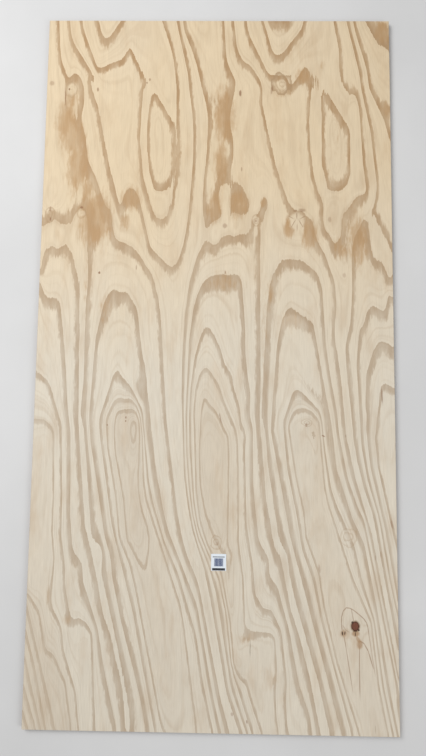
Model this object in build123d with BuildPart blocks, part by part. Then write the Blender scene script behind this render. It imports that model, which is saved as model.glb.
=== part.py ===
"""A full sheet of pine plywood, lying flat with its good face up.

The sheet is one glued and pressed piece, so it is one solid. X runs across the face grain,
Y along it and Z through the plies. The origin is the middle of the underside.
"""

from build123d import *
import os

# Overall size, in millimetres: a four by eight foot sheet
SHEET_WIDTH = 1219.2
SHEET_LENGTH = 2438.4

# Lay-up: two face plies over an odd number of crossed inner plies
FACE_PLY = 2.5
INNER_PLY = 2.65
INNER_PLIES = 5

# Saw-cut edges, eased a little by handling
CORNER_RADIUS = 2.0
ARRIS = 0.4

# Open split along the grain of the good face, down through the face ply
SPLIT_LENGTH = 52.0
SPLIT_WIDTH = 1.8
SPLIT_TAPER = 12.0  # degrees that each wall of the split leans in
SPLIT_FROM_RIGHT = 482.0  # right long edge to the middle of the split
SPLIT_FROM_END = 266.0  # lower end of the sheet to the middle of the split

thickness = 2 * FACE_PLY + INNER_PLIES * INNER_PLY
split_x = SHEET_WIDTH / 2 - SPLIT_FROM_RIGHT
split_y = SPLIT_FROM_END - SHEET_LENGTH / 2


with BuildPart() as plywood_sheet:
    # The blank, with its four upright corners knocked slightly round
    with BuildSketch(Plane.XY):
        RectangleRounded(SHEET_WIDTH, SHEET_LENGTH, CORNER_RADIUS)
    extrude(amount=thickness)

    # Both faces keep a fine eased arris all round
    both_faces = plywood_sheet.faces().filter_by(Axis.Z)
    chamfer(both_faces.edges(), length=ARRIS)

    # The split is a lens, two equal arcs that meet in a point at each end. Its walls lean
    # in as they go down to the first glue line, so it shallows as it runs out at its ends
    with BuildSketch(Plane((split_x, split_y, thickness))):
        with BuildLine():
            side = ThreePointArc((0, -SPLIT_LENGTH / 2), (SPLIT_WIDTH / 2, 0), (0, SPLIT_LENGTH / 2))
            mirror(side, about=Plane.YZ)
        make_face()
    extrude(amount=-FACE_PLY, taper=SPLIT_TAPER, mode=Mode.SUBTRACT)

plywood_sheet.part.label = "plywood_sheet"

os.makedirs("parts", exist_ok=True)
export_step(plywood_sheet.part, "parts/plywood_sheet.step")
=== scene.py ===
"""A sheet of pine plywood, lying flat with its good face up, for Blender.

The sheet is one closed mesh. Its good face carries three attributes: ring, which says at each point
how many years' growth the knife has passed, steepness, which says how fast that number changes
there, and stain. The veneer's figure is worked out from them.
"""

import math

import bpy
import numpy as np
from mathutils import Matrix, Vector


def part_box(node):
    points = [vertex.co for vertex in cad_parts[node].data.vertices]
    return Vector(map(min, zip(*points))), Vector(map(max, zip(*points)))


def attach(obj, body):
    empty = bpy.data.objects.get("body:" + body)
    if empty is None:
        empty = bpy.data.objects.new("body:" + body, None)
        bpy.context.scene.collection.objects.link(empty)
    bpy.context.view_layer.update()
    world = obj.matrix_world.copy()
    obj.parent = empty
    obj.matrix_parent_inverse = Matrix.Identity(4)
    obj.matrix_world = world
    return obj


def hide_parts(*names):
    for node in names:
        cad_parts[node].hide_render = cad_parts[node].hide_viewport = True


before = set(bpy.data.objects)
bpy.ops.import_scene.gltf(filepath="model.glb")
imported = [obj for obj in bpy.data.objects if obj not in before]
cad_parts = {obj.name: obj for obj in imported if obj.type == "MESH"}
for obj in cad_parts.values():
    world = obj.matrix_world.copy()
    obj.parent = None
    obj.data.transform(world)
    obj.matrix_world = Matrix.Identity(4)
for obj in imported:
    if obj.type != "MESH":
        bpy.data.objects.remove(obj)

bl_info = {
    "name": "Plywood sheet",
    "version": (1, 0, 0),
    "blender": (4, 5, 0),
    "location": "View3D > Sidebar > Plywood",
    "description": "Builds a pine plywood sheet with its veneer figure, plies and paper label",
    "category": "Add Mesh",
}

NODE = "plywood_sheet"
MM = 0.001

# The sheet's own size, in metres, as model.glb gives it
LOW, HIGH = (np.array(corner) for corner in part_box(NODE))
THICKNESS = HIGH[2] - LOW[2]

# Lay-up, edge finish and split, in metres, as the CAD has them
PLIES = 7
FACE_PLY = 2.5 * MM
INNER_PLY = (THICKNESS - 2 * FACE_PLY) / (PLIES - 2)
CORNER_RADIUS = 2.0 * MM
ARRIS = 0.4 * MM
SPLIT_LENGTH = 52.0 * MM
SPLIT_WIDTH = 1.8 * MM
SPLIT_LEAN = math.radians(12)
SPLIT_AT = (HIGH[0] - 482.0 * MM, LOW[1] + 266.0 * MM)

# What the CAD leaves out, in metres: how far the knot has sunk, the label's thickness and how far
# its corner lifts
KNOT_SUNK = 0.45 * MM
LABEL_THICKNESS = 0.13 * MM
LABEL_LIFT = 0.7 * MM

# The height at which the face's material changes, in millimetres, so that neither one carries more
# marks than a renderer can hold. No mark lies across it
MARKS_PARTED_AT = 1300

# The main knot's middle, in millimetres from the face's lower left corner, and its size
KNOT_AT = (1079, 341)
KNOT_SIZE = (26, 30)

# Round the knot, in millimetres from its middle: thin lines, as width, strength and the points that
# each goes through; resin stains, as across, up, wide, high, lean in degrees and strength; and the
# darkest places, as the same without strength
KNOT_LINES = [
    (4.2, 0.6, [
        (-43, -13), (-45, 9), (-44, 28), (-39, 47), (-29, 58), (-17, 57), (-4, 50), (13, 37),
        (28, 24), (37, 11), (41, -4), (44, -24)]),
    (3.6, 0.4, [(44, -24), (52, -80), (62, -146)]),
    (3.4, 0.5, [(-12, 53), (-9, 36), (-5, 17)]),
    (3.4, 0.4, [(-40, 2), (-32, -11), (-20, -19)]),
    (3.6, 0.55, [(-37, -32), (-31, -65), (-12, -190)]),
    (4.4, 0.6, [(13, -65), (12, -133), (13, -215)]),
    (4.4, 0.6, [(15, -46), (28, -54), (41, -77), (56, -127)]),
]
KNOT_STAINS = [
    (14, -57, 19, 32, 0, 0.6), (-38, -23, 24, 26, 0, 0.55), (1, -23, 30, 22, 0, 0.75),
    (9, -42, 13, 26, 25, 0.6),
]
KNOT_DARKS = [
    (-42, -23, 5, 14, 8), (-34, -22, 4, 12, -8), (-9, 12, 8, 8, 30), (11, -12, 8, 7, 0),
    (0, -15, 14, 4, 0), (0, -25, 3, 15, 0),
]

# One turn of the log, in millimetres across the face; where the rings that it brings round again
# begin; and the part that takes them, as its left side, right side and lower end
LOG_TURN = 610
TURNED_FROM = 940
REPEATED = (378, 520, 1650)

# The camera that the photograph was taken with: its place, in metres, how far it is turned from
# looking straight down, in degrees about each axis, its sensor and its lens, in millimetres
CAMERA_AT = (0.024, -0.242, 1.940)
VIEW_TURN = (-5.09, -0.81, -0.67)
SENSOR = 36.0
LENS = 27.05

# The annual rings of the good face, in millimetres from its lower left corner: each line has a ring
# number and the points that it goes through. A whole number is the crisp outer side of that
# ring's dark latewood, and rings rise from the log's heart outwards. A number between two whole
# ones is a place part way through a year's growth
RINGS = [
    (5, [
        (34, 2438), (42, 2325), (50, 2285), (74, 2216), (100, 2237), (116, 2226), (128, 2198),
        (135, 2160), (134, 2120), (126, 2080), (128, 2050), (140, 2020), (157, 1905), (188, 1845),
        (221, 1748), (241, 1736), (256, 1636), (335, 1590), (392, 1500), (410, 1440), (422, 1370),
        (450, 1000), (492, 700), (508, 620), (526, 560), (565, 470), (640, 115), (672, 5)]),
    (5, [
        (0, 1672), (46, 1700), (60, 1686), (104, 1681), (112, 1715), (132, 1740), (148, 1728),
        (160, 1700), (167, 1490), (163, 1400), (165, 1140), (159, 1020), (172, 968), (207, 630),
        (214, 603), (236, 592), (247, 565), (245, 500), (325, 180), (345, 80), (352, 20)]),
    (5, [
        (0, 1520), (14, 1585), (30, 1602), (92, 1604), (108, 1585), (133, 1500), (140, 1460),
        (143, 1400), (150, 1010), (184, 650), (227, 490), (256, 355), (281, 300), (317, 150),
        (326, 110), (336, 10)]),
    (6, [
        (72, 2438), (78, 2390), (88, 2355), (170, 2224), (157, 2210), (156, 2190), (186, 2110),
        (226, 1912), (265, 1768), (274, 1746), (291, 1802), (308, 1816), (326, 1804), (339, 1780),
        (380, 1610)]),
    (7, [
        (118, 2438), (123, 2405), (179, 2255), (268, 2293), (295, 2337), (354, 2212), (342, 2165),
        (336, 2010), (350, 1855), (385, 1740)]),
    (8, [(176, 2438), (192, 2386), (209, 2371), (222, 2376), (258, 2438)]),
    (4, [
        (305, 20), (257, 215), (238, 318), (184, 470), (178, 530), (152, 562), (144, 590), (134, 690),
        (126, 960), (115, 1030), (99, 1210), (76, 1400), (66, 1416), (28, 1420), (0, 1475)]),
    (4, [
        (645, 5), (618, 110), (562, 400), (466, 630), (446, 700), (414, 860), (372, 1190),
        (362, 1230), (343, 1375), (331, 1405), (301, 1447), (280, 1440), (262, 1453), (244, 1440),
        (228, 1408), (201, 1280), (187, 1010), (196, 920), (254, 605), (273, 550), (281, 480),
        (313, 345), (375, 130)]),
    (3, [
        (620, 5), (583, 165), (562, 300), (498, 500), (452, 600), (410, 730), (395, 800), (368, 1035),
        (325, 1117), (280, 1170), (268, 1160), (222, 1008), (224, 960), (275, 650), (350, 380),
        (430, 5)]),
    (2, [
        (568, 10), (522, 330), (508, 400), (390, 740), (380, 800), (370, 960), (360, 1020),
        (344, 1060), (328, 1073), (272, 1073), (244, 1003), (252, 905), (284, 742), (298, 612),
        (337, 522), (356, 450), (445, 40)]),
    (1, [
        (358, 1000), (348, 1030), (332, 1040), (292, 1039), (280, 1028), (274, 1000), (273, 950),
        (278, 890), (310, 735), (324, 605), (352, 555)]),
    (3, [
        (0, 1168), (38, 1138), (53, 1110), (95, 982), (105, 760), (107, 610), (122, 525), (124, 460),
        (145, 362), (204, 337), (221, 298), (240, 10)]),
    (2, [
        (36, 1000), (63, 977), (70, 955), (79, 740), (78, 640), (88, 538), (82, 420), (86, 385),
        (118, 325), (128, 250), (172, 120), (186, 10)]),
    (1, [(0, 430), (32, 392), (46, 362), (68, 256), (98, 232), (138, 150), (160, 20)]),
    (4.7, [
        (66, 2172), (64, 2110), (58, 2080), (60, 2020), (72, 1975), (92, 1950), (104, 1815),
        (126, 1750)]),
    (4.7, [(190, 1790), (196, 1760), (206, 1625), (215, 1595), (305, 1568), (345, 1530), (356, 1505)]),
    (0, [(0, 400), (110, 5)]),
    (-1, [(0, 320), (35, 200), (80, 5)]),
    (-2, [(0, 235), (62, 10)]),
    (-3, [(0, 145), (42, 20)]),
    (9, [(795, 2450), (830, 2442), (862, 2450)]),
    (8, [(772, 2438), (800, 2335), (810, 2315), (825, 2308), (840, 2316), (908, 2408), (915, 2438)]),
    (7, [
        (712, 2438), (716, 2400), (728, 2365), (790, 2235), (850, 2232), (868, 2190), (920, 2264),
        (963, 2210), (942, 2185), (938, 2150), (934, 2050), (938, 1960), (949, 1870), (965, 1805),
        (985, 1752), (980, 1735), (980, 1700), (990, 1665), (1020, 1622), (1035, 1632), (1043, 1660),
        (1048, 1716), (1095, 1785), (1130, 1800), (1133, 1820), (1123, 1900), (1109, 2120),
        (1100, 2150), (1073, 2165), (1048, 2210), (1039, 2340), (1022, 2438)]),
    (7, [
        (976, 2150), (978, 1900), (1000, 1815), (1025, 1806), (1050, 1815), (1070, 1840),
        (1078, 1880), (1078, 2010), (1072, 2040), (1004, 2156), (988, 2170), (976, 2150)]),
    (6, [
        (665, 2438), (675, 2340), (688, 2305), (700, 2285), (725, 2270), (760, 2215), (768, 2180),
        (768, 2130), (773, 2100), (816, 1900), (859, 1765), (880, 1738), (905, 1738), (945, 1695),
        (960, 1630), (987, 1580), (1020, 1485), (1026, 1400), (1018, 1330), (1019, 1290),
        (1039, 1150), (1055, 960), (1083, 820), (1135, 640), (1216, 190)]),
    (6, [
        (1068, 2438), (1112, 2240), (1118, 2185), (1150, 2020), (1168, 1830), (1163, 1775),
        (1150, 1740), (1153, 1720), (1165, 1708), (1214, 1600)]),
    (6, [
        (1216, 270), (1141, 700), (1114, 780), (1090, 880), (1080, 940), (1054, 1240), (1058, 1280),
        (1074, 1350), (1080, 1450), (1080, 1600), (1088, 1640), (1120, 1705), (1135, 1690),
        (1152, 1572), (1183, 1553), (1208, 1500)]),
    (5, [
        (630, 2438), (638, 2310), (644, 2280), (675, 2203), (654, 2085), (655, 2040), (664, 2005),
        (668, 1935), (655, 1850), (643, 1828), (629, 1832), (619, 1810), (617, 1775), (631, 1714),
        (585, 1683), (568, 1688)]),
    (5, [
        (700, 15), (662, 125), (608, 410), (583, 520), (543, 640), (525, 730), (512, 830),
        (500, 1080), (500, 1220), (506, 1360), (520, 1480), (545, 1570), (575, 1635), (590, 1615),
        (612, 1612), (635, 1645), (710, 1650), (728, 1665), (735, 1700), (748, 1715), (762, 1705),
        (766, 1150), (762, 1020), (787, 750), (810, 610), (818, 580), (835, 560), (868, 390),
        (897, 305), (932, 170), (963, 10)]),
    (5, [
        (993, 10), (957, 170), (884, 420), (866, 500), (860, 560), (830, 620), (793, 860), (785, 965),
        (773, 1020), (786, 1380), (797, 1480), (832, 1556), (852, 1570), (860, 1560), (900, 1563),
        (962, 1515), (977, 1455), (988, 1270), (1002, 1160), (1024, 1040), (1030, 970), (1058, 820),
        (1092, 720), (1112, 680), (1216, 150)]),
    (4, [
        (1033, 0), (868, 620), (803, 965), (803, 1010), (822, 1260), (838, 1345), (850, 1375),
        (870, 1395), (945, 1340), (1005, 1000), (1022, 850), (1072, 690), (1112, 600), (1150, 400),
        (1187, 150), (1214, 5)]),
    (3, [
        (1060, 20), (967, 360), (940, 490), (907, 580), (888, 700), (857, 850), (843, 1000),
        (875, 1100), (888, 1115), (915, 1095), (965, 1040), (972, 1020), (985, 900), (1004, 780),
        (1020, 730), (1078, 600), (1100, 500), (1142, 360), (1170, 150), (1200, 5)]),
    (2, [
        (1083, 15), (1018, 220), (975, 400), (960, 500), (918, 620), (910, 700), (885, 810),
        (860, 980), (862, 1000), (875, 1030), (900, 1052), (935, 1045), (966, 1008), (984, 790),
        (994, 740), (1075, 490), (1128, 370), (1135, 340), (1156, 150), (1184, 5)]),
    (4, [
        (726, 5), (676, 140), (626, 430), (600, 520), (562, 610), (542, 690), (528, 790), (518, 900),
        (514, 1020), (522, 1280), (535, 1390), (552, 1450), (575, 1490), (600, 1505), (650, 1508),
        (690, 1500), (702, 1475), (714, 1300), (712, 1260), (722, 1160), (733, 1100), (731, 1020),
        (742, 980), (743, 800), (763, 610), (795, 555), (800, 500), (828, 455), (865, 320),
        (895, 160), (930, 60), (938, 0)]),
    (3, [
        (742, 5), (684, 180), (673, 230), (655, 380), (632, 480), (562, 640), (546, 720), (528, 920),
        (526, 1020), (530, 1120), (542, 1220), (560, 1290), (580, 1330), (600, 1310), (630, 1245),
        (645, 1195), (670, 1160), (672, 1130), (697, 1050), (703, 995), (719, 965), (716, 900),
        (722, 660), (745, 530), (752, 440), (780, 392), (805, 388), (838, 325), (856, 170),
        (853, 100), (858, 30)]),
    (2, [
        (772, 5), (722, 152), (700, 172), (683, 205), (668, 350), (640, 495), (588, 600), (566, 670),
        (552, 760), (540, 1040), (546, 1110), (560, 1160), (580, 1190), (625, 1130), (640, 1080),
        (685, 975), (692, 930), (695, 850), (698, 600), (715, 480), (722, 330), (760, 316),
        (800, 318), (818, 300), (825, 200), (820, 130), (822, 60), (830, 10)]),
    (1, [
        (575, 1080), (620, 1035), (660, 950), (664, 890), (662, 600), (680, 550), (672, 535),
        (645, 560), (612, 620), (584, 690), (566, 780), (560, 900), (566, 1040), (575, 1080)]),
    (5, [(1092, 2438), (1098, 2400), (1135, 2270), (1148, 2180), (1190, 2085)]),
    (5, [
        (1205, 1440), (1188, 1378), (1155, 1402), (1130, 1385), (1115, 1325), (1102, 1315),
        (1092, 1200), (1106, 920), (1125, 810), (1160, 690), (1192, 490), (1219, 360)]),
    (4, [
        (1214, 1262), (1178, 1285), (1150, 1250), (1125, 1170), (1120, 1060), (1124, 1030),
        (1122, 980), (1134, 860), (1181, 650), (1218, 420)]),
    (3, [(1200, 1130), (1180, 1135), (1172, 1120), (1150, 950), (1160, 850), (1217, 590)]),
    (5, [
        (656, 1716), (661, 1750), (662, 1830), (672, 1850), (700, 1818), (733, 1748), (706, 1718),
        (690, 1726), (656, 1716)]),
    (5, [(762, 1737), (777, 1794), (787, 1768), (788, 1745), (780, 1730), (762, 1737)]),
    (4, [(1136, 2438), (1180, 2350), (1219, 2325)]),
    (1.7, [
        (697, 500), (697, 400), (690, 330), (700, 284), (760, 286), (790, 270), (795, 240),
        (770, 235), (765, 200), (772, 150), (790, 135), (790, 10)]),
    (6.7, [(1000, 1632), (1012, 1590), (1030, 1572), (1062, 1565)]),
]

# Single places between the lines, as across, up and ring, where the lines alone would mislead
LEVELS = [
    (20, 2100, 4.4), (20, 1980, 4.4), (20, 1850, 4.35), (60, 1780, 4.4), (85, 2178, 4.3),
    (105, 2115, 4.5), (130, 1795, 4.45), (180, 1700, 4.82), (200, 1650, 4.78),
    (225, 1700, 4.8), (225, 1650, 4.75), (172, 1810, 4.64), (590, 2350, 4.3), (600, 2250, 4.3),
    (620, 2185, 4.4), (600, 2120, 4.75), (640, 2100, 4.8), (600, 2000, 4.75),
    (635, 2000, 4.82), (610, 1900, 4.75), (585, 1800, 4.72), (600, 1740, 4.75),
    (680, 1685, 5.35), (610, 1662, 5.25), (637, 1775, 5.2), (745, 1770, 5.3),
    (720, 1900, 5.45), (685, 1775, 4.9), (690, 1745, 4.88), (776, 1760, 4.88),
    (640, 1700, 5.25), (810, 1760, 5.4), (760, 1850, 5.45), (700, 2050, 5.4), (690, 1950, 5.4),
    (405, 1960, 6.4), (400, 2060, 6.4), (405, 1880, 6.4), (352, 2090, 7.1), (351, 1980, 7.1),
    (362, 1880, 7.1),
    (1025, 1960, 6.35), (1025, 2060, 6.4), (1028, 1880, 6.4), (1040, 2010, 6.4),
    (30, 1750, 4.35), (60, 1640, 5.3), (130, 1640, 5.3), (300, 2150, 6.45), (300, 2050, 6.45),
    (290, 1950, 6.45), (300, 2240, 6.6), (850, 2120, 6.45), (880, 2050, 6.5),
    (895, 1950, 6.55), (900, 2150, 6.62), (850, 2185, 6.6), (850, 1950, 6.4), (880, 1850, 6.4),
    (930, 1800, 6.6), (930, 900, 1.55), (938, 800, 1.5), (955, 700, 1.5), (985, 620, 1.4),
    (1010, 520, 1.4), (310, 950, 0.6), (325, 850, 0.6), (340, 740, 0.6), (375, 640, 0.6),
    (420, 560, 1.4), (450, 450, 1.4), (475, 300, 1.4), (500, 150, 1.4), (1060, 450, 1.45),
    (1085, 250, 1.4), (1100, 130, 1.4), (1050, 330, 1.4), (1110, 350, 1.45), (610, 950, 0.5),
    (605, 820, 0.45), (610, 700, 0.5), (640, 620, 0.6), (690, 450, 1.5), (700, 260, 1.6),
    (745, 200, 1.45), (770, 90, 1.5), (740, 350, 2.2), (1190, 1000, 2.6), (1200, 900, 2.5),
    (330, 1260, 3.4), (345, 1185, 3.45), (10, 520, 1.45), (18, 650, 1.45), (14, 780, 1.5),
    (620, 700, 0.5),
]

# Each ring's width of latewood, in hundreds of millimetres, its darkness and its warmth
RING_LOOKS = {
    -4: (0.09, 0.65, 0.2), -3: (0.09, 0.65, 0.2), -2: (0.09, 0.70, 0.2), -1: (0.09, 0.70, 0.2),
    0: (0.09, 0.75, 0.2), 1: (0.07, 0.85, 0.2), 2: (0.075, 0.90, 0.3), 3: (0.095, 1.00, 0.4),
    4: (0.19, 1.00, 0.5), 5: (0.15, 1.00, 0.8), 6: (0.125, 1.00, 0.7), 7: (0.11, 1.00, 0.8),
    8: (0.13, 0.95, 0.7), 9: (0.16, 0.95, 0.7),
}

# Pin knots and dark flecks, as across, up, wide, high, lean in degrees and darkness
FLECKS = [
    (80, 2178, 7, 9, 0, 0.8), (182, 2177, 9, 17, 0, 0.55), (17, 2200, 20, 20, 20, 0.35),
    (367, 2215, 9, 12, 0, 0.5), (357, 2203, 7, 9, 0, 0.5), (28, 1735, 8, 20, 0, 0.5),
    (30, 1700, 7, 14, 0, 0.6), (138, 1743, 12, 9, 0, 0.6), (207, 1510, 9, 10, 0, 0.8),
    (335, 1530, 4, 20, 0, 0.45), (312, 1011, 6, 10, 0, 0.6), (312, 999, 6, 7, 0, 0.6),
    (250, 985, 6, 8, 0, 0.5), (690, 2165, 11, 26, 0, 0.7), (697, 1885, 6, 20, 0, 0.45),
    (640, 1680, 18, 20, 0, 0.4), (643, 1515, 4, 15, 0, 0.75), (1053, 1508, 14, 20, 0, 0.25),
    (1004, 1705, 14, 22, 0, 0.3), (921, 993, 9, 14, 0, 0.45), (978, 957, 16, 6, -25, 0.6),
    (1053, 957, 5, 12, 0, 0.3), (1176, 1095, 6, 62, 4, 0.5), (1203, 670, 9, 38, 12, 0.35),
    (1165, 570, 5, 26, 0, 0.3), (1148, 560, 5, 22, 0, 0.3), (963, 523, 8, 30, 8, 0.3),
    (625, 598, 12, 14, 0, 0.2), (802, 2178, 9, 44, -10, 0.4), (632, 1012, 5, 42, 12, 0.5),
    (728, 38, 6, 14, 10, 0.5), (680, 60, 10, 14, 0, 0.35), (908, 1738, 26, 15, -10, 0.45),
    (884, 1736, 14, 10, 0, 0.35), (890, 1718, 5, 26, 0, 0.5), (878, 1690, 4, 40, -30, 0.45),
    (904, 1690, 4, 40, 30, 0.45), (870, 1712, 4, 24, 60, 0.4), (910, 1712, 4, 24, -60, 0.4),
    (891, 1676, 4, 30, 0, 0.4), (67, 2150, 5, 90, 4, 0.5), (748, 1698, 9, 12, 0, 0.4),
]

# Pale spots, as across, up, wide, high, lean in degrees and strength
PALE_SPOTS = [
    (890, 1698, 54, 66, 0, 0.95), (88, 2176, 38, 48, 0, 0.8), (106, 2105, 11, 88, 4, 0.85),
    (130, 1790, 22, 84, -4, 0.85), (640, 1778, 26, 100, -6, 0.7), (748, 1700, 24, 34, 0, 0.7),
    (1058, 628, 40, 46, -20, 0.5), (872, 1338, 100, 66, 0, 0.4), (836, 2205, 34, 26, 0, 0.6),
    (818, 2172, 18, 26, 0, 0.5), (140, 1722, 26, 22, 0, 0.6),
]

# Small whorls of fine oval rings, as across, up, wide, high, lean in degrees, how many rings and
# strength
WHORLS = [
    (836, 2201, 74, 84, 0, 1, 0.8), (836, 2201, 44, 50, 0, 2, 0.4), (88, 2176, 46, 60, 0, 1, 0.35),
    (622, 601, 36, 50, 0, 2, 0.4), (1060, 624, 56, 64, -20, 2, 0.3), (748, 1700, 30, 44, 0, 2, 0.5),
    (922, 1000, 34, 26, 0, 2, 0.4), (28, 1716, 34, 60, 0, 2, 0.5), (140, 1722, 36, 40, 0, 1, 0.35),
]

# Soft brown stains, as across, up, wide, high and strength
STAINS = [
    (76, 2050, 66, 150, 0.8), (106, 1995, 62, 120, 0.9), (90, 2140, 34, 90, 0.6),
    (120, 1890, 66, 180, 0.85), (152, 1800, 44, 90, 0.7), (186, 1700, 100, 160, 0.95),
    (215, 1720, 60, 110, 0.8),
    (1207, 2108, 30, 50, 0.8), (1195, 2400, 50, 80, 0.8), (980, 2270, 22, 60, 0.4),
    (1040, 1600, 60, 90, 0.5), (1100, 1630, 60, 170, 0.75), (292, 1692, 34, 50, 0.7),
    (312, 1775, 60, 76, 0.8), (634, 2080, 62, 190, 0.85), (624, 1900, 46, 150, 0.75),
    (604, 1750, 44, 100, 0.85), (688, 1760, 56, 84, 0.9), (774, 1764, 16, 30, 1.0),
    (835, 2165, 60, 30, 0.5), (1202, 1098, 24, 44, 0.3), (1160, 1000, 24, 140, 0.25),
    (675, 555, 14, 50, 0.5), (720, 295, 60, 40, 0.5), (800, 170, 50, 90, 0.5),
    (72, 420, 22, 70, 0.5), (135, 345, 34, 36, 0.5), (864, 1674, 36, 66, 0.9),
    (934, 1650, 50, 90, 0.8), (1030, 1990, 60, 240, 0.25), (112, 2150, 34, 120, 0.4),
    (870, 1345, 96, 80, 0.35), (232, 1390, 50, 120, 0.4), (640, 1478, 120, 70, 0.45),
    (800, 1440, 26, 120, 0.45), (1081, 300, 60, 60, 0.4), (1046, 317, 34, 34, 0.8),
    (1092, 286, 22, 30, 0.9), (915, 2228, 50, 60, 0.7), (160, 1450, 16, 300, 0.35),
    (778, 1300, 30, 500, 0.3),
]


def length_setting(name, description, default, least=0.0):
    """A length in metres that a user may change."""
    return bpy.props.FloatProperty(
        name=name, description=description, default=default, min=least, unit="LENGTH")


def power_setting(name, description, default):
    """A lamp's power in watts that a user may change."""
    return bpy.props.FloatProperty(name=name, description=description, default=default, unit="POWER")


def colour_setting(name, description, *default):
    """A colour that a user may change."""
    return bpy.props.FloatVectorProperty(
        name=name, description=description, default=default, subtype="COLOR", min=0, max=1)


class SheetSettings(bpy.types.PropertyGroup):
    """What a user may change about the sheet."""

    column_gap: length_setting(
        "Column gap", "Space between the face's grid lines across the grain", 0.0068, 0.003)
    row_gap: length_setting("Row gap", "Space between the face's grid lines along the grain", 0.0105, 0.003)
    earlywood: colour_setting("Earlywood", "Pale spring growth", 0.635, 0.575, 0.475)
    latewood: colour_setting("Latewood", "Dark summer growth", 0.36, 0.238, 0.132)
    stain: colour_setting("Stain", "Orange brown of resin soaked patches", 0.415, 0.255, 0.122)
    knot: colour_setting("Knot", "Red brown heart of a knot", 0.165, 0.062, 0.036)


class LabelSettings(bpy.types.PropertyGroup):
    """What a user may change about the paper label."""

    width: length_setting("Width", "Label size across the grain", 0.0495)
    height: length_setting("Height", "Label size along the grain", 0.0545)
    from_left: length_setting("From left", "Left long edge to the label's middle", 0.6315)
    from_end: length_setting("From end", "Lower end to the label's middle", 0.5375)
    paper: colour_setting("Paper", "Colour of the paper", 0.70, 0.75, 0.80)
    ink: colour_setting("Ink", "Colour of the rule and the solid bar", 0.006, 0.007, 0.012)
    block: colour_setting("Block", "Colour of the block of bars", 0.012, 0.035, 0.13)


class StageSettings(bpy.types.PropertyGroup):
    """What a user may change about the floor and the light."""

    floor: colour_setting("Floor", "Colour of the floor", 0.62, 0.62, 0.62)
    key: power_setting("Key lamp", "Power of the large lamp", 150.0)
    fill: power_setting("Fill lamp", "Power of the smaller lamp", 45.0)
    sky: bpy.props.FloatProperty(name="Sky", description="Strength of the even light", default=0.42)


def along_line(points, gap):
    """Places about gap apart on the line through the points: the running length is cut into equal
    parts, and each part's end is read off by straight-line interpolation."""
    points = np.array(points, float)
    run = np.concatenate([[0], np.cumsum(np.hypot(*np.diff(points, axis=0).T))])
    at = np.linspace(0, run[-1], max(1, round(run[-1] / gap)) + 1)
    return np.column_stack([np.interp(at, run, points[:, 0]), np.interp(at, run, points[:, 1])])


def rings_and_repeats():
    """The ring lines, and those that one turn of the log brings round again: the lines that lie
    wholly right of TURNED_FROM, as far as they fall in the repeated part."""
    left, right, lower = REPEATED
    lines = list(RINGS)
    for ring, line in RINGS:
        if min(x for x, y in line) > TURNED_FROM:
            turned = [(x - LOG_TURN, y) for x, y in line if left < x - LOG_TURN < right and y > lower]
            if len(turned) > 1:
                lines.append((ring, turned))
    return lines


class RingField:
    """The ring value anywhere on the face: the smoothest thin plate that goes through the ring
    lines. Its kernel is half of the squared distance times that square's logarithm. Lengths along
    the grain count about a third, and the unit is a hundred millimetres across."""

    SQUASH = np.array([1.0, 0.35]) / 100
    EASE = 2e-4

    def __init__(self, gap):
        lines = [(ring, along_line(line, gap)) for ring, line in rings_and_repeats()]
        lines += [(ring, np.array([(across, up)])) for across, up, ring in LEVELS]
        values = [np.full(len(spots), float(ring)) for ring, spots in lines]
        self.places = np.concatenate([spots for ring, spots in lines]) * self.SQUASH
        count = len(self.places)
        square = ((self.places[:, None] - self.places) ** 2).sum(-1)
        plane = np.column_stack([np.ones(count), self.places])
        system = np.zeros((count + 3, count + 3))
        system[:count, :count] = 0.5 * square * np.log(np.maximum(square, 1e-12))
        system[:count, :count] += self.EASE * np.eye(count)
        system[:count, count:] = plane
        system[count:, :count] = plane.T
        weights = np.linalg.solve(system, np.concatenate([*values, np.zeros(3)]))
        self.weights, self.base, self.tilt = weights[:count], weights[count], weights[count + 1:]

    def at(self, across, up):
        """Each place's ring value and its steepness: the weighted kernels and the plane summed, and
        the length of the same sum's gradient, which for one kernel is the offset times one more
        than the logarithm."""
        spots = np.column_stack([across, up]) * self.SQUASH
        rings, slopes = [], []
        for some in np.array_split(spots, max(1, len(spots) // 1500)):
            offset = some[:, None] - self.places
            square = (offset ** 2).sum(-1)
            log = np.log(np.maximum(square, 1e-12))
            rings.append((0.5 * square * log) @ self.weights + self.base + some @ self.tilt)
            slopes.append(np.einsum("ij,ijk->ik", (log + 1) * self.weights, offset) + self.tilt)
        return np.concatenate(rings), np.linalg.norm(np.concatenate(slopes), axis=1)


def stain_at(across, up):
    """Strength of the soft stains: for each, its strength times e to the minus 0.7 times the
    squared distance in its own half widths, and the largest of them."""
    total = np.zeros(np.shape(across))
    for x, y, wide, high, strength in STAINS:
        square = ((across - x) / (wide / 2)) ** 2 + ((up - y) / (high / 2)) ** 2
        total = np.maximum(total, strength * np.exp(-0.7 * square))
    return total


def spread(low, high, gap, zones):
    """Places from low to high with a gap between them that shrinks in each zone (middle, half
    width, gap): the running total of one over the gap is cut into equal parts."""
    fine = np.linspace(low, high, 6001)
    gaps = np.full_like(fine, gap)
    for middle, half, least in zones:
        outside = np.clip((np.abs(fine - middle) - half) / (6 * gap), 0, 1)
        gaps = np.minimum(gaps, least + (gap - least) * outside)
    total = np.concatenate([[0], np.cumsum(np.diff(fine) / gaps[1:])])
    return np.interp(np.linspace(0, total[-1], round(total[-1]) + 1), total, fine)


def edged(places, low, high):
    """The places with two more just inside each end, at two fifths and the whole of the corner."""
    radius = CORNER_RADIUS - ARRIS
    inner = places[(places > low + 2 * radius) & (places < high - 2 * radius)]
    ends = np.array([0, radius * 0.4, radius])
    return np.concatenate([low + ends, inner, high - ends[::-1]])


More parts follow.
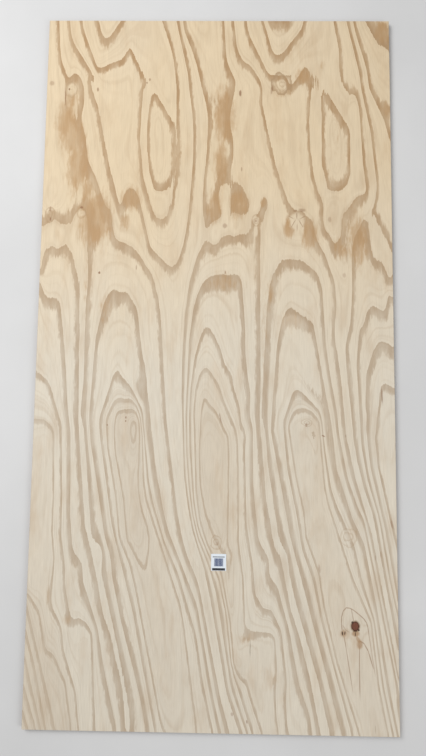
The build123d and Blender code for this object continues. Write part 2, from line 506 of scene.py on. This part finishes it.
def round_corners(x, y, low, high, radius):
    """Pull a rectangle's corner squares into quarter discs: each point keeps its larger offset from
    the corner's centre as its distance."""
    core_x = np.clip(x, low[0] + radius, high[0] - radius)
    core_y = np.clip(y, low[1] + radius, high[1] - radius)
    dx, dy = x - core_x, y - core_y
    far = np.hypot(dx, dy)
    shrink = np.where(far > 1e-9, np.maximum(abs(dx), abs(dy)) / np.maximum(far, 1e-9), 1)
    return core_x + dx * shrink, core_y + dy * shrink


def split_sides(y):
    """Half widths of the split at the face and at its floor, and its depth, at each place along it.
    At the face it is a lens, half the width times one less the squared place, a little waved. The
    walls lean in, and the depth stops at the first glue line or where the walls meet."""
    place = (y - SPLIT_AT[1]) / (SPLIT_LENGTH / 2)
    half = SPLIT_WIDTH / 2 * np.clip(1 - place ** 2, 0, None)
    half = half * (1 + 0.12 * np.sin(place * 17) + 0.08 * np.sin(place * 41))
    depth = np.minimum(FACE_PLY, half / math.tan(SPLIT_LEAN))
    floor = half - depth * math.tan(SPLIT_LEAN)
    return half, floor, depth


def face_grid(settings):
    """The good face as x, y and z on a grid: even lines, closer at the knot and the split, where
    four columns follow the split's walls down. The knot sinks by a steep step of the distance from
    its middle, and its floor is rippled."""
    low, high = LOW[:2] + ARRIS, HIGH[:2] - ARRIS
    knot = LOW[:2] + np.array(KNOT_AT) * MM
    columns = spread(low[0], high[0], settings.column_gap, [(knot[0], 35 * MM, 3.2 * MM)])
    columns = edged(columns, low[0], high[0])
    columns = columns[abs(columns - SPLIT_AT[0]) > 4 * MM]
    walls = SPLIT_AT[0] + np.array([-3, -0.3, -0.1, 0.1, 0.3, 3]) * MM
    columns = np.sort(np.concatenate([columns, walls]))
    closer = [(knot[1], 40 * MM, 3.5 * MM), (SPLIT_AT[1], 30 * MM, 2.8 * MM)]
    rows = edged(spread(low[1], high[1], settings.row_gap, closer), low[1], high[1])
    x, y = np.meshgrid(columns, rows)
    z = np.full(x.shape, HIGH[2])
    half, floor, depth = split_sides(rows)
    middle = SPLIT_AT[0] + 0.25 * MM * np.sin((rows - SPLIT_AT[1]) * 160)
    first = int(np.searchsorted(columns, walls[1] - 0.05 * MM))
    lip, gap = 0.12 * MM, 0.04 * MM
    offsets = (-half - lip, -floor - gap, floor + gap, half + lip)
    for column, offset in enumerate(offsets, first):
        x[:, column] = middle + offset
    z[:, first + 1:first + 3] -= depth[:, None]
    x, y = round_corners(x, y, low, high, CORNER_RADIUS - ARRIS)
    half_knot = np.array(KNOT_SIZE) * MM / 2
    far = np.hypot((x - knot[0]) / half_knot[0], (y - knot[1]) / half_knot[1])
    z -= KNOT_SUNK * np.clip((1.25 - far) / 0.35, 0, 1) * (1 + 0.5 * np.sin(9 * (x + y) / 0.02))
    return x, y, z


def quads_of(grid):
    """The cells of a grid of indices, each as its four corners in anticlockwise order."""
    return np.stack([grid[:-1, :-1], grid[:-1, 1:], grid[1:, 1:], grid[1:, :-1]], -1).reshape(-1, 4)


def rim_of(grid):
    """Indices of a grid's border, once round, anticlockwise from its first corner."""
    return np.concatenate([grid[0, :-1], grid[:-1, -1], grid[-1, :0:-1], grid[:0:-1, 0]])


def edge_profile():
    """The sawn edge from the good face down, as offset outwards and height: a fine arris, each
    glue line pressed in a little between two flat ply edges, and the arris of the back."""
    groove, lip = 0.13 * MM, 0.22 * MM
    out, height = [ARRIS], [HIGH[2] - ARRIS]
    for glue in HIGH[2] - FACE_PLY - INNER_PLY * np.arange(PLIES - 1):
        out += [ARRIS, ARRIS - groove, ARRIS]
        height += [glue + lip, glue, glue - lip]
    return np.array(out + [ARRIS, 0]), np.array(height + [LOW[2] + ARRIS, LOW[2]])


def sheet_mesh(settings):
    """The whole closed sheet: the face's grid, its border carried down the edge profile, and the
    back as strips between the two ends' matching columns. The last result is each face's material:
    the lower or the upper part of the good face, the edge or the back."""
    x, y, z = face_grid(settings)
    grid = np.arange(x.size).reshape(x.shape)
    rim = rim_of(grid)
    border = np.column_stack([x.ravel()[rim], y.ravel()[rim]])
    core = np.clip(border, LOW[:2] + CORNER_RADIUS, HIGH[:2] - CORNER_RADIUS)
    outward = (border - core) / np.linalg.norm(border - core, axis=1)[:, None]
    out, height = edge_profile()
    sides = np.empty((len(out), len(rim), 3))
    sides[:, :, :2] = border + out[:, None, None] * outward
    sides[:, :, 2] = height[:, None]
    verts = np.concatenate([np.column_stack([x.ravel(), y.ravel(), z.ravel()]), sides.reshape(-1, 3)])

    face = quads_of(grid)
    hoops = np.concatenate([rim[None], x.size + np.arange(len(out) * len(rim)).reshape(len(out), -1)])
    after = np.roll(hoops, -1, axis=1)
    wall = np.stack([hoops[:-1], hoops[1:], after[1:], after[:-1]], -1).reshape(-1, 4)

    hoop = hoops[-1]
    rows, columns = x.shape
    lower = hoop[:columns]
    right = hoop[columns - 1:columns + rows - 1]
    upper = hoop[columns + rows - 2:2 * columns + rows - 2][::-1]
    left = np.append(hoop[2 * columns + rows - 3:], hoop[0])[::-1]
    strips = np.stack([lower[1:-2], upper[1:-2], upper[2:-1], lower[2:-1]], -1)
    ends = [[*left, upper[1], lower[1]], [lower[-2], upper[-2], *right[::-1]]]
    faces = [*face.tolist(), *wall.tolist(), *strips.tolist(), *ends]
    upper_face = y.ravel()[face].min(1) > LOW[1] + MARKS_PARTED_AT * MM
    others = np.repeat([2, 3], [len(wall), len(strips) + len(ends)])
    return verts, faces, np.concatenate([upper_face, others])


def piece_from(name, verts, faces, parts, materials):
    """A mesh object at the origin that rides on the part's one body."""
    mesh = bpy.data.meshes.new(name)
    mesh.from_pydata(verts.tolist(), [], faces)
    for material in materials:
        mesh.materials.append(material)
    mesh.polygons.foreach_set("material_index", parts.astype(np.int32))
    mesh.validate()
    piece = bpy.data.objects.new(name, mesh)
    bpy.context.scene.collection.objects.link(piece)
    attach(piece, "root")
    return piece


def give_attribute(piece, name, values):
    """Store one number for each vertex, for the materials to read."""
    held = piece.data.attributes.new(name, "FLOAT", "POINT")
    held.data.foreach_set("value", values.astype(np.float32))


class Value:
    """What one output of a shader node gives at each point. It takes plain arithmetic."""

    def __init__(self, nodes, socket):
        self.nodes, self.socket = nodes, socket

    def __add__(self, other):
        return self.nodes.math("ADD", self, other)

    def __sub__(self, other):
        return self.nodes.math("SUBTRACT", self, other)

    def __rsub__(self, other):
        return self.nodes.math("SUBTRACT", other, self)

    def __mul__(self, other):
        return self.nodes.math("MULTIPLY", self, other)

    def __truediv__(self, other):
        return self.nodes.math("DIVIDE", self, other)

    def __abs__(self):
        return self.nodes.math("ABSOLUTE", self)


class Nodes:
    """Short calls that add shader nodes to one tree and join them."""

    def __init__(self, name):
        self.material = bpy.data.materials.new(name)
        self.material.use_nodes = True
        self.tree = self.material.node_tree
        self.shader = self.tree.nodes["Principled BSDF"]
        self.where = Value(self, self.add("ShaderNodeTexCoord").outputs["Object"])

    def add(self, kind, *inputs, **settings):
        """A new node with these settings, whose first sockets are fed in order."""
        node = self.tree.nodes.new(kind)
        for name, value in settings.items():
            setattr(node, name, value)
        for socket, value in zip(node.inputs, inputs):
            self.put(socket, value)
        return node

    def put(self, socket, value):
        """Feed a socket from another node, or give it a plain number or colour."""
        if isinstance(value, Value):
            self.tree.links.new(value.socket, socket)
        else:
            socket.default_value = value

    def math(self, operation, *inputs):
        return Value(self, self.add("ShaderNodeMath", *inputs, operation=operation).outputs[0])

    def times(self, vector, factors):
        node = self.add("ShaderNodeVectorMath", vector, factors, operation="MULTIPLY")
        return Value(self, node.outputs[0])

    def attribute(self, name):
        return Value(self, self.add("ShaderNodeAttribute", attribute_name=name).outputs["Fac"])

    def noise(self, factors, detail=2.0, roughness=0.5, vector=None):
        """Noise about one cell in size once the place has been multiplied by the factors."""
        place = self.times(vector or self.where, factors)
        node = self.add("ShaderNodeTexNoise", place, 0.0, 1.0, detail, roughness)
        return Value(self, node.outputs["Fac"])

    def step(self, value, low, high, to_low=0.0, to_high=1.0):
        """A smooth step from one number to the other as the value goes from low to high."""
        node = self.add(
            "ShaderNodeMapRange", value, low, high, to_low, to_high, interpolation_type="SMOOTHSTEP")
        return Value(self, node.outputs["Result"])

    def blend(self, amount, first, second):
        """The first colour, then the second as the amount goes from nothing to one."""
        node = self.add("ShaderNodeMix", amount, data_type="RGBA")
        sockets = [socket for socket in node.inputs if socket.type == "RGBA"]
        for socket, colour in zip(sockets, (first, second)):
            self.put(socket, colour if isinstance(colour, Value) else (*colour, 1.0))
        return Value(self, [socket for socket in node.outputs if socket.type == "RGBA"][0])

    def over(self, colour, tint, value, low, high, strength=1.0):
        """A tint laid over a colour, more and more up to this strength as the value goes from low
        to high."""
        return self.blend(self.step(value, low, high, 0.0, strength), colour, tint)

    def split(self, vector):
        node = self.add("ShaderNodeSeparateXYZ", vector)
        return [Value(self, socket) for socket in node.outputs]

    def oval(self, across, up, wide, high, lean=0.0):
        """Distance from an oval's middle in its own half widths, for a place in millimetres from
        the face's lower left corner."""
        place = (LOW[0] + across * MM, LOW[1] + up * MM, HIGH[2])
        half = (wide * MM / 2, high * MM / 2, 1)
        turn = (0, 0, math.radians(lean))
        inside = self.add("ShaderNodeMapping", self.where, place, turn, half, vector_type="TEXTURE")
        offset = Value(self, inside.outputs[0])
        return Value(self, self.add("ShaderNodeVectorMath", offset, operation="LENGTH").outputs["Value"])

    def finish(self, colour, roughness, height, depth):
        """Feed the shader: colour, roughness and a bump of this depth."""
        bump = self.add("ShaderNodeBump")
        self.put(bump.inputs["Distance"], depth)
        self.put(bump.inputs["Height"], height)
        self.put(self.shader.inputs["Base Color"], colour)
        self.put(self.shader.inputs["Roughness"], roughness)
        self.put(self.shader.inputs["Normal"], Value(self, bump.outputs[0]))
        self.put(self.shader.inputs["Specular IOR Level"], 0.22)
        return self.material


class Wood:
    """The wood's four colours as arrays, so that they can be scaled and mixed."""

    def __init__(self, settings):
        self.early, self.late = np.array(settings.earlywood), np.array(settings.latewood)
        self.stain, self.knot = np.array(settings.stain), np.array(settings.knot)


def ring_looks(nodes, year):
    """The look of the ring that a year's growth ends in, from a ramp with one flat step a ring: a
    year that begins at one ring's number ends in the next's latewood."""
    first, span = min(RING_LOOKS) - 1, len(RING_LOOKS) + 2
    ramp = nodes.add("ShaderNodeValToRGB", (year - (first - 0.5)) / span)
    ramp.color_ramp.interpolation = "CONSTANT"
    stops = ramp.color_ramp.elements
    for ring, look in sorted(RING_LOOKS.items()):
        at = (ring - 1 - first) / span
        stop = stops[0] if ring == min(RING_LOOKS) else stops.new(at)
        stop.position = at
        stop.color = (*look, 1)
    stops.remove(stops[-1])
    parts = nodes.add("ShaderNodeSeparateColor", Value(nodes, ramp.outputs["Color"]))
    return [Value(nodes, socket) for socket in parts.outputs]


def latewood_over(nodes, ring, stain, patches, blotches):
    """How dark the latewood is and how warm. The year's end is dark for a share of its growth, the
    ring's width times the field's steepness, which stains widen. The dark part has a soft inner
    side, a crisp outer edge, and between them a middle that is nearly level or graded by turns."""
    year = nodes.math("FLOOR", ring)
    width, darkness, warmth = ring_looks(nodes, year)
    width = width * nodes.step(patches, 0.25, 0.75, 0.7, 1.3) * (stain * 3.0 + 1.0)
    share = nodes.math("MINIMUM", width * nodes.attribute("steepness"), 0.55)
    into = nodes.math("MAXIMUM", (ring - year - (1.0 - share)) / share, 0.0)
    level = nodes.step(blotches, 0.35, 0.65, 0.5, 0.85) - stain * 0.25
    late = nodes.step(into, 0.0, 0.4) * level + into * (1.0 - level)
    return late * darkness, warmth


def marks_over(nodes, colour, pale, rough_edge, low, high, wood):
    """The face's marks from low up to high on the sheet: pale spots, whorls of fine rings, and
    flecks."""

    def here(marks):
        """The marks whose height on the sheet, the second number of each, is in range."""
        return [mark for mark in marks if low <= mark[1] < high]

    soft_edge = rough_edge * 0.8
    for *place, strength in here(PALE_SPOTS):
        colour = nodes.over(colour, pale, nodes.oval(*place) + soft_edge, 1.15, 0.7, strength)
    swirl = (nodes.noise((45, 30, 1), detail=2) - 0.5) * 0.9 + rough_edge * 0.16
    for *place, count, strength in here(WHORLS):
        far = nodes.oval(*place) + swirl
        line = nodes.step(nodes.math("FRACT", far * count), 0.45, 0.95)
        colour = nodes.blend(line * nodes.step(far, 1.05, 0.95, 0.0, strength), colour, wood.late)
    speck = 0.35 * (wood.knot + wood.stain) * (1.0, 0.75, 0.6)
    for *place, strength in here(FLECKS):
        colour = nodes.over(colour, speck, nodes.oval(*place) + rough_edge, 1.15, 0.5, strength)
    return colour


def knot_over(nodes, colour, rough_edge, wood):
    """The main knot: thin lines that flow round it and on from it, resin stains, and a cracked red
    brown heart with a darker rim."""
    thin_edge = rough_edge * 0.35
    dark = 0.25 * wood.knot

    def far_from(across, up, *shape):
        """Distance from an oval whose place is given from the knot's middle."""
        return nodes.oval(KNOT_AT[0] + across, KNOT_AT[1] + up, *shape) + thin_edge

    for width, strength, points in KNOT_LINES:
        for (x1, y1), (x2, y2) in zip(points, points[1:]):
            length, lean = math.hypot(x2 - x1, y2 - y1), math.degrees(math.atan2(x1 - x2, y2 - y1))
            far = far_from((x1 + x2) / 2, (y1 + y2) / 2, width, length * 1.4, lean)
            colour = nodes.over(colour, 0.5 * (wood.knot + wood.late), far, 1.15, 0.5, strength)
    for *place, strength in KNOT_STAINS:
        colour = nodes.over(colour, 0.3 * wood.knot + 0.7 * wood.stain, far_from(*place), 1.15, 0.5, strength)
    far = far_from(0, 0, *KNOT_SIZE)
    colour = nodes.over(colour, 0.5 * wood.stain, far, 1.45, 0.95, 0.8)
    cracks = nodes.noise((330, 330, 1), detail=3)
    core = nodes.blend(nodes.step(cracks, 0.5, 0.64, 0.0, 0.6), wood.knot, dark)
    core = nodes.over(core, dark, far, 0.6, 0.95, 0.65)
    heart = nodes.step(far, 1.08, 0.9)
    colour = nodes.blend(heart, colour, core)
    for place in KNOT_DARKS:
        colour = nodes.over(colour, dark, far_from(*place), 1.1, 0.75, 0.85)
    return colour, heart


def pale_wood(nodes, ring, along, wood):
    """Earlywood, yellower towards the sheet's upper end as painted warm light, with thin lines of
    growth between the rings and a faint brown mottle."""
    clouds = nodes.noise((3.5, 1.2, 1), detail=2)
    # Painted warm light: the earlywood turns yellower towards the sheet's upper end, with a cloudy tone of
    # its own mixed in
    painted_warm_light_and_tone = nodes.step(along, -0.25, 0.75) + (clouds - 0.5) * 0.8
    painted_warm_light_and_tone = nodes.math("MAXIMUM", nodes.math("MINIMUM", painted_warm_light_and_tone, 1.0), 0.0)
    pale = nodes.blend(painted_warm_light_and_tone, wood.early, wood.early * (1.02, 0.91, 0.75))
    years = nodes.add("ShaderNodeCombineXYZ", ring, along * 3.0)
    thin_growth = nodes.noise((9, 1, 1), vector=Value(nodes, years.outputs[0]))
    pale = nodes.over(pale, wood.late, thin_growth, 0.45, 0.75, 0.2)
    mottle = nodes.noise((16, 5, 1), detail=3, roughness=0.6)
    return nodes.over(pale, wood.stain, mottle, 0.48, 0.72, 0.2)


def face_material(name, low, high, wood):
    """Sanded rotary-cut pine: the ring attribute, roughened along the fibres, gives each year's
    latewood, which is fainter towards the sheet's lower end and greyer there as painted cool shade.
    Stains, faded towards the lower end as painted cool shade, and the marks from low up to high
    lie over it."""
    nodes = Nodes(name)
    along = nodes.split(nodes.where)[1]
    fibres = nodes.noise((620, 18, 1), detail=3)
    streaks = nodes.noise((260, 3.5, 1), detail=4)
    patches = nodes.noise((110, 26, 1), detail=4, roughness=0.6)
    blotches = nodes.noise((38, 11, 1), detail=3)
    ragged = nodes.noise((420, 60, 1), detail=3)
    rough_edge = ragged - 0.5

    ring = nodes.attribute("ring") + (nodes.noise((30, 2.2, 1)) - 0.5) * 0.06
    ring = ring + (nodes.noise((150, 9, 1), detail=3) - 0.5) * 0.08 + (fibres - 0.5) * 0.035
    stained = nodes.attribute("stain")
    dark, warmth = latewood_over(nodes, ring, stained, patches, blotches)
    dark = dark * nodes.step(along, -0.3, 1.2, 0.62, 1.02) * nodes.step(blotches, 0.3, 0.7, 0.76, 1.08)

    pale = pale_wood(nodes, ring, along, wood)
    band = nodes.blend(warmth * 0.5, wood.late, wood.stain)
    # Painted cool shade and warm light: the latewood's colour turns bluish grey towards the sheet's lower end
    # and to the warm band towards its upper end
    band = nodes.blend(nodes.step(along, -0.05, 0.75), wood.late * (0.95, 1.02, 1.15), band)
    colour = nodes.blend(dark, pale, band)
    colour = nodes.over(colour, wood.late, ring, 2.4, 0.4, 0.16)
    soaked_and_painted_shade = nodes.step(stained + (patches - 0.5) * 0.9, 0.15, 0.65)
    # Real resin stain, faded towards the sheet's lower end as painted cool shade
    soaked_and_painted_shade = soaked_and_painted_shade * nodes.step(along, -0.5, 0.5, 0.35, 0.85) * nodes.step(blotches, 0.3, 0.7, 0.65, 1.0)
    colour = nodes.blend(soaked_and_painted_shade, colour, wood.stain)

    colour = marks_over(nodes, colour, pale, rough_edge, low, high, wood)
    heart = 0.0
    if low <= KNOT_AT[1] < high:
        colour, heart = knot_over(nodes, colour, rough_edge, wood)
    dashes = nodes.step(nodes.noise((900, 26, 1), detail=2, roughness=0.6), 0.70, 0.80, 0.0, 0.35)
    colour = nodes.blend(dashes, colour, band)
    shade = (fibres - 0.5) * 0.28 + (streaks - 0.5) * 0.12 + (blotches - 0.5) * 0.12 + 1.0
    height = fibres * 0.5 + dark * 0.25 - dashes * 1.2 - ragged * heart * 3.0
    return nodes.finish(nodes.times(colour, shade), 0.68 - dark * 0.10, height, 1.2e-4)


def edge_material(wood):
    """The sawn edge: seven plies that show long grain and end grain by turns, with dark glue
    between them."""
    nodes = Nodes("pine_sawn_edge")
    x, z = nodes.split(nodes.where)[::2]
    ply = (z - (LOW[2] + FACE_PLY - INNER_PLY)) / INNER_PLY
    odd = nodes.math("FLOORED_MODULO", nodes.math("FLOOR", ply), 2.0)
    end_grain = abs(odd - nodes.math("GREATER_THAN", abs(x), HIGH[0] - CORNER_RADIUS))
    lengthwise = nodes.noise((6, 6, 700), detail=4)
    pores = nodes.noise((900, 900, 900), detail=3)
    rings = nodes.noise((45, 45, 160), detail=2)
    long_wood = nodes.blend(nodes.step(lengthwise, 0.4, 0.62), wood.early, wood.late)
    end_wood = nodes.blend(nodes.step(rings, 0.42, 0.58), 1.25 * wood.late, 0.62 * wood.late)
    end_wood = nodes.over(end_wood, wood.knot, pores, 0.5, 0.7, 0.5)
    colour = nodes.blend(end_grain, long_wood, end_wood)
    nearest = abs(ply - nodes.math("ROUND", ply))
    inside = nodes.math("LESS_THAN", abs(z - THICKNESS / 2), THICKNESS / 2 - FACE_PLY / 2)
    glue = nodes.step(nearest, 0.09, 0.03) * inside
    colour = nodes.blend(glue * 0.75, colour, wood.knot)
    saw = nodes.noise((240, 240, 40), detail=2)
    colour = nodes.over(colour, wood.knot, saw, 0.4, 0.7, 0.16)
    return nodes.finish(colour, pores * 0.1 + 0.72, pores + saw - glue * 1.5, 2e-4)


def back_material(wood):
    """The plainer back: broad peeled figure from a wave that the grain's noise bends, with a few
    small knots."""
    nodes = Nodes("pine_back_veneer")
    along = nodes.split(nodes.where)[1]
    fibres = nodes.noise((620, 14, 1), detail=3)
    ring = nodes.noise((3.1, 0.55, 1), detail=1) * 15.0 + along * 1.6
    ring = ring + nodes.noise((26, 1.6, 1), detail=2) * 0.35 + fibres * 0.12
    dark = nodes.step(nodes.math("FRACT", ring), 0.62, 0.88, 0.0, 0.8)
    colour = nodes.blend(dark, 0.9 * wood.early, wood.late)
    spots = nodes.add("ShaderNodeTexVoronoi", nodes.times(nodes.where, (3.4, 2.1, 0)), 0.0, 1.0)
    far = Value(nodes, spots.outputs["Distance"]) + nodes.noise((200, 90, 1), detail=2) * 0.03
    colour = nodes.over(colour, wood.stain, far, 0.19, 0.05, 0.6)
    colour = nodes.over(colour, 2.2 * wood.knot, far, 0.068, 0.05)
    colour = nodes.over(colour, wood.late, fibres, 0.25, 0.75, 0.22)
    return nodes.finish(colour, 0.74 - dark * 0.08, fibres + dark * 0.3, 2e-4)


def label_mesh(settings):
    """A paper rectangle as a thin closed grid: it lies on the face, and one corner lifts by the
    cube of the distance towards it."""
    steps = np.linspace(-0.5, 0.5, 15)
    across, up = np.meshgrid(steps, steps)
    x = LOW[0] + settings.from_left + across * settings.width
    y = LOW[1] + settings.from_end + up * settings.height
    base = HIGH[2] + 0.02 * MM + LABEL_LIFT * np.clip(across + up, 0, 1) ** 3
    top = np.stack([x, y, base + LABEL_THICKNESS], -1).reshape(-1, 3)
    under = np.stack([x, y, base], -1).reshape(-1, 3)
    grid = np.arange(x.size).reshape(x.shape)
    quads = quads_of(grid)
    rim = rim_of(grid)
    after = np.roll(rim, -1)
    wall = np.stack([rim, rim + x.size, after + x.size, after], -1)
    faces = [*quads.tolist(), *(quads[:, ::-1] + x.size).tolist(), *wall.tolist()]
    return np.concatenate([top, under]), faces, np.zeros(len(faces), int)


def label_material(settings):
    """White paper with a thin rule, a block of even upright bars and a solid bar, all plain."""
    nodes = Nodes("label_paper")
    middle = (LOW[0] + settings.from_left, LOW[1] + settings.from_end, 0)
    size = (settings.width, settings.height, 1)
    centred = nodes.add("ShaderNodeMapping", nodes.where, middle, (0, 0, 0), size, vector_type="TEXTURE")
    x, y = nodes.split(Value(nodes, centred.outputs[0]))[:2]

    def block(y_at, half_wide, half_high):
        """One inside a rectangle and nothing outside it, in shares of the label."""
        inside_x = nodes.math("LESS_THAN", abs(x), half_wide)
        return inside_x * nodes.math("LESS_THAN", abs(y - y_at), half_high)

    bars = block(0.0, 0.3, 0.235) * nodes.math("LESS_THAN", nodes.math("FRACT", x * 11.0), 0.8)
    ink = nodes.math("MAXIMUM", block(0.32, 0.4, 0.022), block(-0.41, 0.43, 0.07))
    pulp = nodes.noise((900, 900, 900), detail=3)
    paper = np.array(settings.paper)
    colour = nodes.blend(nodes.step(pulp, 0.3, 0.7, 0.0, 0.12), paper, 0.8 * paper)
    colour = nodes.blend(bars * 0.95, colour, settings.block)
    colour = nodes.blend(ink * 0.96, colour, settings.ink)
    return nodes.finish(colour, pulp * 0.1 + 0.5, pulp, 3e-5)


class PLYWOOD_OT_sheet(bpy.types.Operator):
    """Build the sheet with its face figure, plied edges and back"""

    bl_idname = "plywood.add_sheet"
    bl_label = "Add sheet"

    def execute(self, context):
        settings = context.scene.plywood_sheet
        verts, faces, parts = sheet_mesh(settings)
        wood = Wood(settings)
        materials = [
            face_material("pine_face_lower", -np.inf, MARKS_PARTED_AT, wood),
            face_material("pine_face_upper", MARKS_PARTED_AT, np.inf, wood),
            edge_material(wood),
            back_material(wood),
        ]
        piece = piece_from("sheet", verts, faces, parts, materials)
        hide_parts(NODE)
        across, up = ((verts[:, axis] - LOW[axis]) / MM for axis in (0, 1))
        on_face = verts[:, 2] > HIGH[2] - FACE_PLY - 1e-6
        field = RingField(gap=26)
        values = np.zeros((2, len(verts)))
        values[:, on_face] = field.at(across[on_face], up[on_face])
        give_attribute(piece, "ring", values[0])
        give_attribute(piece, "steepness", values[1])
        give_attribute(piece, "stain", stain_at(across, up))
        return {"FINISHED"}


class PLYWOOD_OT_label(bpy.types.Operator):
    """Stick the small paper label on the good face"""

    bl_idname = "plywood.add_label"
    bl_label = "Add label"

    def execute(self, context):
        settings = context.scene.plywood_label
        verts, faces, parts = label_mesh(settings)
        piece_from("paper_label", verts, faces, parts, [label_material(settings)])
        return {"FINISHED"}


def add_lamp(name, place, size, power):
    """A square area lamp that shines at the middle of the sheet."""
    light = bpy.data.lights.new(name, "AREA")
    light.energy = power
    light.size = size
    lamp = bpy.data.objects.new(name, light)
    bpy.context.scene.collection.objects.link(lamp)
    lamp.location = place
    lamp.rotation_mode = "QUATERNION"
    lamp.rotation_quaternion = lamp.location.to_track_quat("Z", "Y")


def floor_material(settings):
    """A pale matt floor with a faint mottle."""
    nodes = Nodes("pale_floor")
    mottle = nodes.noise((2, 2, 1), detail=4)
    floor = np.array(settings.floor)
    colour = nodes.blend(nodes.step(mottle, 0.3, 0.7), floor, 0.94 * floor)
    return nodes.finish(colour, 0.8, mottle, 1e-4)


class PLYWOOD_OT_stage(bpy.types.Operator):
    """Lay the floor and set the lamps, the even light and the camera"""

    bl_idname = "plywood.add_stage"
    bl_label = "Add stage"

    def execute(self, context):
        settings = context.scene.plywood_stage
        mesh = bpy.data.meshes.new("floor")
        reach = 14.0
        under = LOW[2] - 0.2 * MM
        corners = [(x * reach, y * reach, under) for x, y in ((-1, -1), (1, -1), (1, 1), (-1, 1))]
        mesh.from_pydata(corners, [], [(0, 1, 2, 3)])
        mesh.materials.append(floor_material(settings))
        floor = bpy.data.objects.new("floor", mesh)
        context.scene.collection.objects.link(floor)

        add_lamp("key_lamp", (-2.2, 1.6, 3.4), 2.6, settings.key)
        add_lamp("fill_lamp", (2.6, -1.8, 2.8), 2.2, settings.fill)
        world = bpy.data.worlds.new("even_light")
        world.use_nodes = True
        sky = world.node_tree.nodes["Background"]
        sky.inputs["Color"].default_value = (1, 1, 1, 1)
        sky.inputs["Strength"].default_value = settings.sky
        context.scene.world = world
        context.scene.view_settings.view_transform = "Standard"

        data = bpy.data.cameras.new("camera")
        data.sensor_width = SENSOR
        data.lens = LENS
        data.clip_start = 0.05
        camera = bpy.data.objects.new("camera", data)
        context.scene.collection.objects.link(camera)
        turn = np.radians(VIEW_TURN)
        seen = Matrix.Rotation(np.linalg.norm(turn), 3, turn)
        camera.matrix_world = Matrix.LocRotScale(CAMERA_AT, seen.transposed().to_quaternion(), None)
        context.scene.camera = camera
        return {"FINISHED"}


class PLYWOOD_PT_panel(bpy.types.Panel):
    """The sheet's settings and the buttons that build it"""

    bl_label = "Plywood sheet"
    bl_idname = "PLYWOOD_PT_panel"
    bl_space_type = "VIEW_3D"
    bl_region_type = "UI"
    bl_category = "Plywood"

    def draw(self, context):
        operators = (PLYWOOD_OT_sheet, PLYWOOD_OT_label, PLYWOOD_OT_stage)
        for name, operator in zip(SETTINGS, operators):
            settings = getattr(context.scene, name)
            box = self.layout.box()
            for entry in settings.__annotations__:
                box.prop(settings, entry)
            box.operator(operator.bl_idname)


SETTINGS = {
    "plywood_sheet": SheetSettings,
    "plywood_label": LabelSettings,
    "plywood_stage": StageSettings,
}
CLASSES = (*SETTINGS.values(), PLYWOOD_OT_sheet, PLYWOOD_OT_label, PLYWOOD_OT_stage, PLYWOOD_PT_panel)


def register():
    for kind in CLASSES:
        bpy.utils.register_class(kind)
    for name, group in SETTINGS.items():
        setattr(bpy.types.Scene, name, bpy.props.PointerProperty(type=group))


def unregister():
    for name in SETTINGS:
        delattr(bpy.types.Scene, name)
    for kind in reversed(CLASSES):
        bpy.utils.unregister_class(kind)


def main():
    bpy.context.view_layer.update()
    register()
    bpy.ops.plywood.add_sheet()
    bpy.ops.plywood.add_label()
    bpy.ops.plywood.add_stage()
    bpy.context.view_layer.update()


if __name__ == "__main__":
    main()
